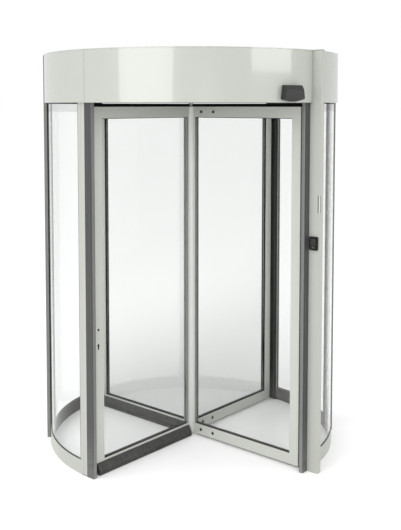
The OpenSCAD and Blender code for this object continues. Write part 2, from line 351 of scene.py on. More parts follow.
SILVER = (0.395, 0.41, 0.372)
FINISHES = (
    SolidFinish("canopy_finish", SILVER, 0.25, coat=1.0, coat_roughness=0.06, spread=0.02, scuff=0.0),
    SolidFinish("ceiling_finish", (0.05, 0.052, 0.05), 0.5, spread=0.03, scuff=0.0),
    SolidFinish("cover_sheet", (0.24, 0.248, 0.24), 0.55, spread=0.06, scuff=0.0, specular=0.2),
    SolidFinish("drum_profile", SILVER, 0.32, coat=0.25, coat_roughness=0.12, spread=0.03),
    SolidFinish("wing_profile", (0.52, 0.535, 0.495), 0.34, metallic=0.15, grain=Grain.DRAWN, spread=0.04),
    SolidFinish("shaft_finish", (0.56, 0.57, 0.54), 0.28, metallic=0.2, grain=Grain.DRAWN, spread=0.03),
    SolidFinish("bearing_finish", (0.16, 0.165, 0.17), 0.55, relief=0.00006, spread=0.1, scuff=0.0),
    GlassFinish("drum_glass", (0.95, 0.96, 0.953), ior=1.15),
    # The wing panes carry painted shade towards their foot.
    GlassFinish("wing_glass", (0.908, 0.915, 0.909), veil=0.12, ior=1.35),
    SolidFinish(
        "safety_edge_rubber", (0.034, 0.034, 0.035), 0.32, coat=0.5, coat_roughness=0.2,
        grain=Grain.DRAWN, spread=0.08, scuff=0.3, specular=0.3,
    ),
    # Lighter grey for the nose tip of the safety edges: a painted highlight.
    SolidFinish("edge_nose_rubber", (0.15, 0.15, 0.148), 0.32, grain=Grain.DRAWN, spread=0.08, scuff=0.3),
    SolidFinish("bumper_rubber", (0.018, 0.018, 0.019), 0.45, spread=0.1, scuff=0.2, specular=0.2),
    SolidFinish("brush", (0.008, 0.008, 0.008), 0.75, grain=Grain.BRISTLE, relief=0.0002, spread=0.3, specular=0.15),
    SolidFinish("reader_plastic", (0.003, 0.003, 0.003), 0.35, relief=0.00003, specular=0.2),
    SolidFinish("indicator_plastic", (0.52, 0.54, 0.49), 0.22, relief=0.00001, spread=0.02),
    SolidFinish("sensor_plastic", (0.022, 0.022, 0.022), 0.4, relief=0.00004, scuff=0.0, specular=0.35),
    SolidFinish("gasket_rubber", (0.006, 0.006, 0.006), 0.6, relief=0.00005, spread=0.15, specular=0.2),
    # Painted shade for the faces of base rails and throat posts that look towards the axis.
    SolidFinish("inner_painted_shade", (0.034, 0.034, 0.031), 0.45, grain=Grain.DRAWN, spread=0.08, specular=0.3),
    # Painted shade for the outer side faces of the side posts.
    SolidFinish("post_shade", (0.17, 0.18, 0.165), 0.3, grain=Grain.DRAWN, spread=0.04, specular=0.3),
    # Painted shade for the wings' hub channel and the hub-side strips of their seals.
    SolidFinish("channel_shade", (0.18, 0.187, 0.177), 0.45, grain=Grain.DRAWN, spread=0.06, specular=0.3),
    SolidFinish("screw_black", (0.004, 0.004, 0.004), 0.4, spread=0.1, scuff=0.0, specular=0.2),
)


# -------------------------------------------------------------------- mesh work
# Shapes are in millimetres, and stand at the front until they are turned into place.


def pushed(outline: list[Point], way: Point) -> Shape:
    """Push a flat outline along a straight way.

    Args:
        outline: Corners of the outline in order.
        way: Way and length of the push.

    Returns:
        The closed solid.
    """
    shape = bmesh.new()
    face = shape.faces.new([shape.verts.new(corner) for corner in outline])
    swept = bmesh.ops.extrude_face_region(shape, geom=[face])
    moved = [v for v in swept["geom"] if isinstance(v, bmesh.types.BMVert)]
    bmesh.ops.translate(shape, verts=moved, vec=way)
    return shape


def upright(section: Section, low: float, high: float) -> Shape:
    """Raise a section of distance along the wall and radius from one height to another."""
    return pushed([(t, -r, low) for t, r in section], (0, 0, high - low))


def along_wing(section: Section, inner: float, outer: float) -> Shape:
    """Sweep a section of distance from the wing's middle and height from one radius to another."""
    return pushed([(x, -inner, z) for x, z in section], (0, inner - outer, 0))


def along_arc(section: Section, start: float, end: float, pitch: float = 0.75) -> Shape:
    """Sweep a section round the door's axis.

    Args:
        section: Corners as radius and height.
        start: First angle from the front, in degrees.
        end: Last angle.
        pitch: Angle of one step.

    Returns:
        The closed solid.
    """
    shape = bmesh.new()
    face = shape.faces.new([shape.verts.new((0, -r, z)) for r, z in section])
    turn(shape, start)
    bmesh.ops.spin(
        shape, geom=[face, *face.edges, *face.verts], cent=(0, 0, 0), axis=(0, 0, 1), dvec=(0, 0, 0),
        angle=math.radians(end - start), steps=max(2, round((end - start) / pitch)), use_duplicate=False,
    )
    return shape


def block(x: Pair, r: Pair, z: Pair) -> Shape:
    """Make a block between pairs of sideways, radial and height limits."""
    return upright([(x[0], r[0]), (x[1], r[0]), (x[1], r[1]), (x[0], r[1])], z[0], z[1])


def disc(radius: float, low: float, high: float, sides: int = 32) -> Shape:
    """Make an upright disc on the axis.

    Args:
        radius: Radius of the disc.
        low: Height of its underside.
        high: Height of its top.
        sides: Number of its sides.

    Returns:
        The disc.
    """
    shape = bmesh.new()
    bmesh.ops.create_cone(
        shape, cap_ends=True, segments=sides, radius1=radius, radius2=radius, depth=high - low,
        matrix=Matrix.Translation((0, 0, (low + high) / 2)),
    )
    return shape


def turned(profile: Section, steps: int = 96) -> Shape:
    """Turn a profile once round the axis.

    Args:
        profile: Radius and height of each corner, from pole to pole.
        steps: Number of faces round the axis.

    Returns:
        The closed solid.
    """
    shape = bmesh.new()
    points = [shape.verts.new((r, 0, z)) for r, z in profile]
    edges = [shape.edges.new(pair) for pair in zip(points, points[1:])]
    bmesh.ops.spin(
        shape, geom=[*points, *edges], cent=(0, 0, 0), axis=(0, 0, 1), dvec=(0, 0, 0),
        angle=math.tau, steps=steps, use_merge=True, use_duplicate=False,
    )
    bmesh.ops.remove_doubles(shape, verts=shape.verts, dist=0.001)
    return shape


def node_copy(name: str) -> Shape:
    """Copy a CAD node's mesh in millimetres, with its loose triangles joined into whole faces.

    Args:
        name: Name of the node.

    Returns:
        The copy.
    """
    shape = bmesh.new()
    shape.from_mesh(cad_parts[name].data)
    bmesh.ops.scale(shape, vec=(1 / MM, 1 / MM, 1 / MM), verts=shape.verts)
    bmesh.ops.remove_doubles(shape, verts=shape.verts, dist=WELD)
    bmesh.ops.dissolve_limit(shape, angle_limit=math.radians(0.5), verts=shape.verts, edges=shape.edges)
    return shape


def turn(shape: Shape, angle: float, axis: str = "Z") -> Shape:
    """Turn a shape by an angle in degrees."""
    bmesh.ops.rotate(shape, verts=shape.verts, cent=(0, 0, 0), matrix=Matrix.Rotation(math.radians(angle), 3, axis))
    return shape


def shift(shape: Shape, x: float = 0, y: float = 0, z: float = 0) -> Shape:
    """Move a shape."""
    bmesh.ops.translate(shape, verts=shape.verts, vec=(x, y, z))
    return shape


def flip(shape: Shape) -> Shape:
    """Mirror a shape from the right to the left.

    Args:
        shape: The shape.

    Returns:
        The same shape.
    """
    bmesh.ops.scale(shape, vec=(-1, 1, 1), verts=shape.verts)
    bmesh.ops.reverse_faces(shape, faces=shape.faces)
    return shape


def round_over(shape: Shape, edges: list[bmesh.types.BMEdge], width: float, segments: int) -> None:
    """Round some edges of a shape.

    Args:
        shape: The shape.
        edges: The edges.
        width: Width of the rounding.
        segments: Number of faces across it.
    """
    bmesh.ops.bevel(
        shape, geom=edges, offset=width, offset_type="OFFSET", segments=segments, profile=0.5,
        affect="EDGES", clamp_overlap=True, material=-1,
    )


def ease(shape: Shape, width: float, segments: int = 2, least: float = 40.0, shortest: float = 0.0) -> Shape:
    """Round the sharp edges of a closed shape.

    Args:
        shape: The shape.
        width: Width of the rounding.
        segments: Number of faces across it.
        least: Least angle between two faces of a sharp edge, in degrees.
        shortest: Length under which an edge stays sharp.

    Returns:
        The same shape.
    """
    bmesh.ops.recalc_face_normals(shape, faces=shape.faces)
    limit = math.radians(least)
    round_over(shape, [
        e for e in shape.edges
        if len(e.link_faces) == 2 and e.calc_face_angle(0.0) > limit and e.calc_length() > shortest
    ], width, segments)
    return shape


def cut_across(shape: Shape, at: Point, way: Point) -> None:
    """Cut the faces of a shape by a plane, without taking anything away."""
    whole = [*shape.verts, *shape.edges, *shape.faces]
    bmesh.ops.bisect_plane(shape, geom=whole, dist=0.001, plane_co=at, plane_no=way)


def score(shape: Shape, at: Point, across: Point, facing: Point, width: float, depth: float) -> Shape:
    """Cut a straight joint line into the faces that face one way.

    Args:
        shape: The shape.
        at: A point in the middle of the line.
        across: Direction across the line.
        facing: Direction that the scored faces face.
        width: Width of the line.
        depth: Depth of the line.

    Returns:
        The same shape.
    """
    side, look, middle = Vector(across).normalized(), Vector(facing).normalized(), Vector(at)
    for half in (-width / 2, width / 2):
        cut_across(shape, middle + side * half, side)
    shape.normal_update()
    strip = [
        f for f in shape.faces
        if f.normal.dot(look) > FACING and abs((f.calc_center_median() - middle).dot(side)) < width / 2
    ]
    if strip:
        cut = bmesh.ops.extrude_face_region(shape, geom=strip)
        sunk = [v for v in cut["geom"] if isinstance(v, bmesh.types.BMVert)]
        bmesh.ops.translate(shape, verts=sunk, vec=look * -depth)
        bmesh.ops.delete(shape, geom=[f for f in strip if f.is_valid], context="FACES_ONLY")
    return shape


def largest(shape: Shape, way: Point) -> bmesh.types.BMFace:
    """Find the largest face that looks one way."""
    look = Vector(way)
    return max(shape.faces, key=lambda f: f.calc_area() * (f.normal.dot(look) > FACING))


def inset(shape: Shape, face: bmesh.types.BMFace, *steps: Pair, **options: bool) -> None:
    """Inset a face in steps of thickness and depth."""
    for thickness, depth in steps:
        bmesh.ops.inset_region(shape, faces=[face], thickness=thickness, depth=depth, **options)


def pulled(shape: Shape, face: bmesh.types.BMFace) -> bmesh.types.BMFace:
    """Extrude a face in place and take the old one away.

    Args:
        shape: The shape.
        face: The face.

    Returns:
        The new face.
    """
    made = bmesh.ops.extrude_face_region(shape, geom=[face])
    bmesh.ops.delete(shape, geom=[face], context="FACES_ONLY")
    return next(f for f in made["geom"] if isinstance(f, bmesh.types.BMFace))


def mark(shape: Shape, rule: Callable[[Vector, Vector], bool]) -> Shape:
    """Give the second finish to some faces.

    Args:
        shape: The shape.
        rule: Says by a face's normal and middle whether it is one of them.

    Returns:
        The same shape.
    """
    for face in shape.faces:
        if rule(face.normal, face.calc_center_median()):
            face.material_index = 1
    return shape


def row(shape: Shape, step: Point, count: int) -> Shape:
    """Repeat a small shape in a straight row.

    Args:
        shape: The shape.
        step: Way from one to the next.
        count: Number of them in all.

    Returns:
        The same shape.
    """
    if count > 1:
        bmesh.ops.spin(
            shape, geom=[*shape.verts, *shape.edges, *shape.faces], cent=(0, 0, 0), axis=(0, 0, 1),
            dvec=step, angle=0.0, steps=count - 1, use_duplicate=True,
        )
    return shape


def joined(shapes: list[Shape]) -> Shape:
    """Put several shapes into one mesh.

    Args:
        shapes: The shapes, which are used up.

    Returns:
        The new shape.
    """
    whole = bmesh.new()
    for shape in shapes:
        part = bpy.data.meshes.new("part")
        shape.to_mesh(part)
        shape.free()
        whole.from_mesh(part)
        bpy.data.meshes.remove(part)
    return whole


@dataclass
class Maker:
    """Turns finished shapes into pieces that ride on one body."""

    materials: dict[str, bpy.types.Material]
    body: Body

    def piece(
        self, name: str, shape: Shape, finish: str, node: str | None = None,
        second: str | None = None, slot: str | None = None,
    ) -> None:
        """Make an object of a shape in millimetres.

        Args:
            name: Name of the piece.
            shape: Its mesh, in place, which is used up.
            finish: Finish of the piece.
            node: CAD node that it stands for.
            second: Finish of the faces with material index 1.
            slot: Slot of the record, where the finish isn't one itself; not used.
        """
        bmesh.ops.dissolve_degenerate(shape, dist=MELT, edges=shape.edges)
        bmesh.ops.delete(shape, geom=[e for e in shape.edges if e.is_wire], context="EDGES")
        bmesh.ops.scale(shape, vec=(MM, MM, MM), verts=shape.verts)
        bmesh.ops.recalc_face_normals(shape, faces=shape.faces)
        for face in shape.faces:
            face.smooth = True
        mesh = bpy.data.meshes.new(name)
        shape.to_mesh(mesh)
        shape.free()
        mesh.set_sharp_from_angle(angle=math.radians(SMOOTH_ANGLE))
        for label in (finish, second):
            if label:
                mesh.materials.append(self.materials[label])
        thing = bpy.data.objects.new(name, mesh)
        bpy.context.scene.collection.objects.link(thing)
        even = thing.modifiers.new("even_shading", "WEIGHTED_NORMAL")
        even.keep_sharp = True
        even.weight = EVEN_WEIGHT
        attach(thing, self.body.value)
        if node:
            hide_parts(node)
        LOG.info("%s: %d faces on the %s", name, len(mesh.polygons), self.body.value)

    def dress(self, node: str) -> None:
        """Give a CAD node that stays in view the finish of its own slot.

        Args:
            node: Name of the node.
        """
        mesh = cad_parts[node].data
        for i, old in enumerate(mesh.materials):
            mesh.materials[i] = self.materials[old.name.split(".")[0]]
        LOG.info("%s: kept from the CAD", node)


# ------------------------------------------------------------------ sub-assemblies


@dataclass(frozen=True)
class DrumSizes:
    """Sizes that the parts of the drum share, in millimetres and degrees."""

    canopy_r: float = 900.0
    sheet: float = 3.0
    head: float = 2100.0
    top: float = 2390.0
    ceiling_top: float = 2118.0
    wall_out_r: float = 883.0
    rail_in_r: float = 865.0
    glass_in_r: float = 869.0
    glass_out_r: float = 879.0
    rail_h: float = 83.0
    throat: float = 45.3
    post_w: float = 53.0
    post_in_r: float = 856.0
    side_half: float = 25.0

    def lengths(self, r: float) -> list[Pair]:
        """Give the two stretches of the right wall beside its side post.

        Args:
            r: Radius at which the widths of the posts become angles.

        Returns:
            First and last angle of each stretch from the front, in degrees.
        """
        first = self.throat + math.degrees(math.asin(self.post_w / r))
        last = 90.0 - math.degrees(math.asin(self.side_half / r))
        return [(first, last), (180.0 - last, 180.0 - first)]

    def beside_pane(self, x: Pair, inner: float = 4.2, outer: float = 3.2) -> list[Shape]:
        """Make upright seals inside and outside the pane between two sideways limits."""
        limits = ((self.glass_in_r - inner, self.glass_in_r), (self.glass_out_r, self.glass_out_r + outer))
        return [block(x, r, (self.rail_h, self.head)) for r in limits]


@dataclass(frozen=True)
class Canopy:
    """Fascia, ceiling, top cover and bearing."""

    maker: Maker
    sizes: DrumSizes
    joint: float = 44.0
    seam: float = 2.0
    screws: int = 24

    def fascia(self) -> None:
        """Roll the four quarters of the fascia, with a bead near the top edge."""
        s = self.sizes
        out, inner, top = s.canopy_r, s.canopy_r - s.sheet, s.top
        section = [
            (inner, s.head), (out - 0.9, s.head), (out, s.head + 1.2), (out, top - 6.5), (out - 1.0, top - 6.0),
            (out - 1.0, top - 4.0), (out, top - 3.5), (out, top - 0.7), (out - 0.7, top), (inner, top),
        ]
        gap = math.degrees(math.asin(self.seam / 2 / out))
        post = math.degrees(math.asin(s.side_half / out))
        end = [(gap - self.joint, self.joint - gap)]
        side = [(self.joint + gap, 90.0 - post), (90.0 + post, 180.0 - self.joint - gap)]
        for name, by, arcs in (("front", 0.0, end), ("rear", 180.0, end), ("right", 0.0, side), ("left", 180.0, side)):
            sheet = joined([along_arc(section, by + a, by + b) for a, b in arcs])
            self.maker.piece(f"fascia_sheet_{name}", sheet, "canopy_finish", f"fascia_{name}")

    def seam_strips(self) -> None:
        """Close each open seam of the fascia from behind with a dark strip."""
        s = self.sizes
        inner, low, high = s.canopy_r - s.sheet, s.ceiling_top + 1, s.top - 5
        section = [(inner - 2.4, low), (inner - 0.1, low), (inner - 0.1, high), (inner - 2.4, high)]
        corners = (self.joint, 180 - self.joint, 180 + self.joint, 360 - self.joint)
        strips = joined([along_arc(section, a - 0.6, a + 0.6, 0.3) for a in corners])
        self.maker.piece("fascia_seam_strips", strips, "gasket_rubber")

    def ceiling(self) -> None:
        """Cut the joints of the ceiling boards into its underside."""
        board = node_copy("ceiling")
        for across in ((0, 1, 0), (1, 0, 0)):
            score(board, (0, 0, self.sizes.head), across, (0, 0, -1), 1.6, 1.5)
        self.maker.piece("ceiling_boards", board, "ceiling_finish", "ceiling")

    def top_cover(self) -> None:
        """Make the dust cover of four sheets, with its rim screws."""
        s = self.sizes
        cover = node_copy("top_cover")
        upper = [v for v in cover.verts if v.co.z > s.top - 1]
        bmesh.ops.translate(cover, verts=upper, vec=(0, 0, -1.5))
        for across in ((1, 1, 0), (1, -1, 0)):
            score(cover, (0, 0, s.top), across, (0, 0, 1), 2.0, 1.2)
        self.maker.piece("top_cover_sheets", cover, "cover_sheet", "top_cover", slot="canopy_finish")
        screws, pitch = [], 360.0 / self.screws
        for i in range(self.screws):
            head = ease(disc(4.0, s.top - 1.6, s.top - 0.3, 16), 0.5)
            screws.append(turn(shift(head, y=-(s.canopy_r - 20.0)), (i + 0.5) * pitch))
        self.maker.piece("top_cover_screws", joined(screws), "screw_black")

    def build(self) -> None:
        """Build every piece of the canopy."""
        self.fascia()
        self.seam_strips()
        self.ceiling()
        self.top_cover()
        self.maker.dress("bearing_housing")


@dataclass(frozen=True)
class SideWall:
    """Curved panes of one side in their rails, and the side post."""

    maker: Maker
    sizes: DrumSizes
    name: str
    side: float
    lip: float = 2.4
    groove: Pair = (880.0, 888.0)
    groove_depth: float = 3.5

    def swept(self, section: Section, r: float) -> list[Shape]:
        """Sweep a section along both lengths of the wall."""
        return [along_arc(section, self.side + a, self.side + b) for a, b in self.sizes.lengths(r)]

    def panes(self) -> None:
        """Bend the two panes."""
        s = self.sizes
        low, a, b = s.rail_h - 8, s.glass_in_r, s.glass_out_r
        panes = joined(self.swept([(a, low), (b, low), (b, s.head), (a, s.head)], a))
        self.maker.piece(f"curved_panes_{self.name}", panes, "drum_glass", f"drum_glass_{self.name}")

    def rails(self) -> None:
        """Roll the base rail, with a channel for the pane, and its seals at foot and head."""
        s, top, lip = self.sizes, self.sizes.rail_h, self.lip
        a, b = s.rail_in_r, s.wall_out_r
        section = [
            (a, 2), (a + 1, 0), (b - 1, 0), (b, 2), (b, top - 1.2), (b - 1.0, top), (b - lip, top), (b - lip, top - 12),
            (a + lip, top - 12), (a + lip, top), (a + 1.0, top), (a, top - 1.2),
        ]
        # Faces towards the axis, below the top, get painted shade.
        rail = mark(joined(self.swept(section, b)), lambda n, c: math.hypot(c.x, c.y) < a + 0.6 and c.z < top - 2)
        node = f"base_rail_{self.name}"
        self.maker.piece(f"base_rail_profile_{self.name}", rail, "drum_profile", node, "inner_painted_shade")
        seals: list[Shape] = []
        for r0, r1 in ((a + lip, s.glass_in_r), (s.glass_out_r, b - lip)):
            foot = [(r0, top - 10), (r1, top - 10), (r1, top + 2.5), ((r0 + r1) / 2, top + 2.5), (r0, top + 1.0)]
            seals += self.swept(foot, b)
        for r0, r1 in ((s.glass_in_r - 4, s.glass_in_r), (s.glass_out_r, s.glass_out_r + 4)):
            seals += self.swept([(r0, s.head - 3), (r1, s.head - 6), (r1, s.head), (r0, s.head)], b)
        self.maker.piece(f"pane_seals_{self.name}", joined(seals), "gasket_rubber")

    def post(self) -> None:
        """Make the side post with its joint grooves, joint seals and pane seals."""
        s, w, (g0, g1), deep = self.sizes, self.sizes.side_half, self.groove, self.groove_depth
        seal_r, inner, outer, by = s.post_in_r + 8, s.post_in_r + 15, s.canopy_r + 8, self.side + 90.0
        section = [
            (-w, inner), (w, inner), (w, g0), (w - deep, g0), (w - deep, g1), (w, g1), (w, outer),
            (-w, outer), (-w, g1), (-w + deep, g1), (-w + deep, g0), (-w, g0),
        ]
        # The outer side faces beside the grooves get painted shade.
        post = mark(ease(upright(section, 0, s.top), 0.9, 3), lambda n, c: abs(n.x) > 0.95 and c.y < -g1)
        node = f"side_post_{self.name}"
        self.maker.piece(f"side_post_profile_{self.name}", turn(post, by), "drum_profile", node, "post_shade")
        strips = [block((t, t + 1.5), (g0 + 0.2, g1 - 0.2), (1, s.head)) for t in (-w + 1.0, w - 2.5)]
        strips.append(ease(block((-w, w), (seal_r, inner), (0, s.head)), 1.5, 3))
        strips += s.beside_pane((-w - 3.0, -w)) + s.beside_pane((w, w + 3.0))
        self.maker.piece(f"side_post_seals_{self.name}", turn(joined(strips), by), "gasket_rubber")

    def build(self) -> None:
        """Build the wall."""
        self.panes()
        self.rails()
        self.post()


class Throat(Enum):
    """The four throats: angle in degrees, whether it is a mirror image, and turn to the rear."""

    FRONT_RIGHT = (45.3, False, 0.0)
    FRONT_LEFT = (45.3, True, 0.0)
    REAR_LEFT = (45.3, False, 180.0)
    REAR_RIGHT = (45.3, True, 180.0)

    def place(self, shape: Shape) -> Shape:
        """Take a shape from the front to this throat.

        Args:
            shape: The shape.

        Returns:
            The same shape.
        """
        angle, mirrored, half_turn = self.value
        turn(shape, angle)
        if mirrored:
            flip(shape)
        return turn(shape, half_turn)


@dataclass(frozen=True)
class ThroatPost:
    """Throat post with its rubber safety edge."""

    maker: Maker
    sizes: DrumSizes
    throat: Throat
    edge_w: float = 56.0
    nose: float = 8.0
    foot: float = 3.0
    ribs: Point = (-15.0, -27.0, -39.0)

    def put(self, label: str, shape: Shape, finish: str, node: str | None = None, second: str | None = None) -> None:
        """Make a piece at this throat.

        Args:
            label: Name of the piece, without the throat's.
            shape: Its mesh, at the front.
            finish: Finish of the piece.
            node: CAD node that it stands for, without the throat's name.
            second: Finish of the faces with material index 1.
        """
        name = self.throat.name.lower()
        self.maker.piece(f"{label}_{name}", self.throat.place(shape), finish, node and f"{node}_{name}", second)

    def post(self) -> None:
        """Make the post with its snap-cover joints, foot seal and pane seals."""
        s = self.sizes
        a, b, w, g, deep = s.post_in_r, s.wall_out_r, s.post_w, 30.0, 1.2
        section = [
            (0, a), (g, a), (g, a + deep), (g + 1.5, a + deep), (g + 1.5, a), (w, a),
            (w, b), (g + 1.5, b), (g + 1.5, b - deep), (g, b - deep), (g, b), (0, b),
        ]
        post = ease(upright(section, self.foot, s.head), 0.7, 2)
        # Faces towards the axis get painted shade.
        mark(post, lambda n, c: n.y > FACING and c.y > -(a + 2))
        self.put("throat_post_profile", post, "drum_profile", "throat_post", "inner_painted_shade")
        seals = [block((0.8, w - 0.8), (a + 0.8, b - 0.8), (0, self.foot)), *s.beside_pane((w, w + 3.0))]
        self.put("throat_post_seals", joined(seals), "gasket_rubber")

    def safety_edge(self) -> None:
        """Make the ribbed rubber edge with a rounded nose, whose tip carries a painted highlight."""
        s, tip = self.sizes, -self.edge_w
        a, b = s.post_in_r, s.wall_out_r
        inside: Section = [(0, a)]
        for t in self.ribs:
            inside += [(t + 1.2, a), (t + 0.6, a + 1.4), (t - 0.6, a + 1.4), (t - 1.2, a)]
        outside = [(t, a + b - r) for t, r in inside]
        edge = upright(inside + [(tip, a), (tip, b)] + outside[::-1], 0, s.head)
        round_over(edge, [
            e for e in edge.edges
            if all(abs(v.co.x - tip) < 0.01 for v in e.verts) and abs(e.verts[0].co.y - e.verts[1].co.y) < 0.01
        ], self.nose, 8)
        edge.normal_update()
        # The flat tip of the nose gets the painted highlight.
        mark(edge, lambda n, c: n.x < -0.8)
        self.put("safety_edge_rubber", edge, "safety_edge_rubber", "safety_edge", "edge_nose_rubber")

    def build(self) -> None:
        """Build the post and its edge."""
        self.post()
        self.safety_edge()


@dataclass(frozen=True)
class ReaderStation:
    """Column with its cap, card reader and indicator lens, at the front or the rear."""

    maker: Maker
    sizes: DrumSizes
    throat: Throat
    end: str
    depth: float = 70.0
    lead: float = 10.0
    width: float = 32.0
    reader_z: float = 1316.0
    reader_half: Pair = (26.0, 38.0)
    reader_d: float = 14.0
    lens_z: float = 1536.0
    lens_h: float = 95.0
    lens_face: float = 15.0
    lens_side: float = 9.0
    lens_d: float = 4.0
    lens_gap: float = 5.0
    skin: float = 0.4

    def put(self, label: str, shape: Shape, finish: str, node: str | None = None) -> None:
        """Make a piece at this station; label and node are without the end's name."""
        self.maker.piece(f"{label}_{self.end}", self.throat.place(shape), finish, node and f"{node}_{self.end}")

    def column(self) -> None:
        """Make the column from its CAD shape, with a cover joint and a dark cap."""
        s = self.sizes
        r0, r1 = s.wall_out_r, s.wall_out_r + self.depth
        column = turn(node_copy(f"reader_column_{self.end}"), -self.throat.value[0] - self.throat.value[2])
        upper = [v for v in column.verts if v.co.z > s.top - 1]
        bmesh.ops.translate(column, verts=upper, vec=(0, 0, -3.0))
        score(column, (0, -(r0 + 9), 0), (0, 1, 0), (-1, 0, 0), 0.9, 0.9)
        ease(column, 0.9, 3, 60.0)
        self.put("reader_column_profile", column, "drum_profile", "reader_column")
        sideways = (-self.lead + 0.6, self.width - self.lead - 0.6)
        cap = block(sideways, (s.canopy_r + 1.0, r1 - 0.6), (s.top - 3.0, s.top))
        self.put("reader_column_cap", ease(cap, 0.8), "sensor_plastic")

    def lens(self) -> None:
        """Make the corner lens in its dark frame."""
        out, t0, d, g = self.sizes.wall_out_r + self.depth, -self.lead, self.lens_d, self.lens_gap
        f, w, skin = self.lens_face, self.lens_side, self.skin
        low, high = self.lens_z - self.lens_h / 2, self.lens_z + self.lens_h / 2
        lens = upright([
            (t0, out), (t0, out - f + g), (t0 + d - 0.8, out - f + g), (t0 + d - 0.8, out - d + 0.8),
            (t0 + w - g + 0.6, out - d + 0.8), (t0 + w - g + 0.6, out),
        ], low + 0.6, high - 0.6)
        self.put("indicator_lens_cover", ease(lens, 0.7, 3), "indicator_plastic", "indicator_lens")
        liner = upright([
            (t0 + skin, out - f), (t0 + d, out - f), (t0 + d, out - d), (t0 + w, out - d), (t0 + w, out - skin),
            (t0 + w - g + 0.9, out - skin), (t0 + w - g + 0.9, out - d + 0.7), (t0 + d - 0.7, out - d + 0.7),
            (t0 + d - 0.7, out - f + g - 0.3), (t0 + skin, out - f + g - 0.3),
        ], low, high)
        self.put("indicator_lens_frame", liner, "gasket_rubber")

    def card_reader(self) -> None:
        """Make the card reader: rounded housing, sunk front, reading fields and status light."""
        t0, mid, z = -self.lead, self.sizes.wall_out_r + self.depth / 2, self.reader_z
        (half_w, half_h), face_t = self.reader_half, t0 - self.reader_d
        housing = block((face_t, t0), (mid - half_w, mid + half_w), (z - half_h, z + half_h))
        round_over(housing, [e for e in housing.edges if abs(e.verts[0].co.x - e.verts[1].co.x) > 1], 7, 6)
        ease(housing, 1.6, 3, 60.0)
        inset(housing, largest(housing, (-1, 0, 0)), (2.6, 0), (0.6, -0.9))
        self.put("card_reader_housing", housing, "reader_plastic", "card_reader")
        spans = ((-12, 28), (-30, -16))
        fields = [block((face_t + 0.3, t0 - 12), (mid - 17, mid + 17), (z + a, z + b)) for a, b in spans]
        self.put("card_reader_fields", ease(joined(fields), 0.6), "sensor_plastic")
        light = shift(turn(ease(disc(1.8, 0, 1.2, 20), 0.4), -90, "Y"), face_t + 1.2, -mid, z - 23)
        self.put("card_reader_light", light, "indicator_plastic")

    def build(self) -> None:
        """Build the station."""
        self.column()
        self.lens()
        self.card_reader()


@dataclass(frozen=True)
class MotionSensor:
    """Sensor housing over the front or the rear entrance."""

    maker: Maker
    end: str
    angle: float

    def build(self) -> None:
        """Build the housing with eased edges and a seam round the front cover."""
        housing = turn(node_copy(f"motion_sensor_{self.end}"), -self.angle)
        ease(housing, 2.2, 3, 25.0)
        inset(housing, largest(housing, (0, -1, 0)), (3.5, 0), (0.9, -0.9), (0.9, 0.9))
        turn(housing, self.angle)
        self.maker.piece(f"motion_sensor_housing_{self.end}", housing, "sensor_plastic", f"motion_sensor_{self.end}")


@dataclass(frozen=True)
class Hub:
    """Round hub post and its shaft."""

    maker: Maker
    post_r: float = 42.87
    shaft_r: float = 14.0
    collar_r: float = 29.0
    foot: float = 14.0
    head: float = 2077.0
    collar: float = 2198.3

    def build(self) -> None:
        """Turn the hub post, shaft and collar in one, with the joints of the end plates."""
        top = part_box("centre_shaft")[1].z / MM
        r, s, c, foot, head, low = self.post_r, self.shaft_r, self.collar_r, self.foot, self.head, self.collar
        profile = [
            (0, foot), (r - 1, foot), (r, foot + 1), (r, foot + 7), (r - 1.2, foot + 7.4), (r - 1.2, foot + 8.8),
            (r, foot + 9.2), (r, head - 9.2), (r - 1.2, head - 8.8), (r - 1.2, head - 7.4), (r, head - 7),
            (r, head - 1), (r - 1, head), (s + 3, head), (s + 2.4, head - 1.5), (s, head - 1.5), (s, low),
            (c - 1, low), (c, low + 1), (c, low + 17), (c - 1, low + 18), (s, low + 18), (s, top - 1.5),
            (s - 1.5, top), (0, top),
        ]
        self.maker.piece("hub_post_and_shaft", turned(profile), "shaft_finish", "centre_shaft")


class Wing(Enum):
    """The four wings, by angle from the front in degrees."""

    FRONT_RIGHT = 45.0
    REAR_RIGHT = 135.0
    REAR_LEFT = 225.0
    FRONT_LEFT = 315.0


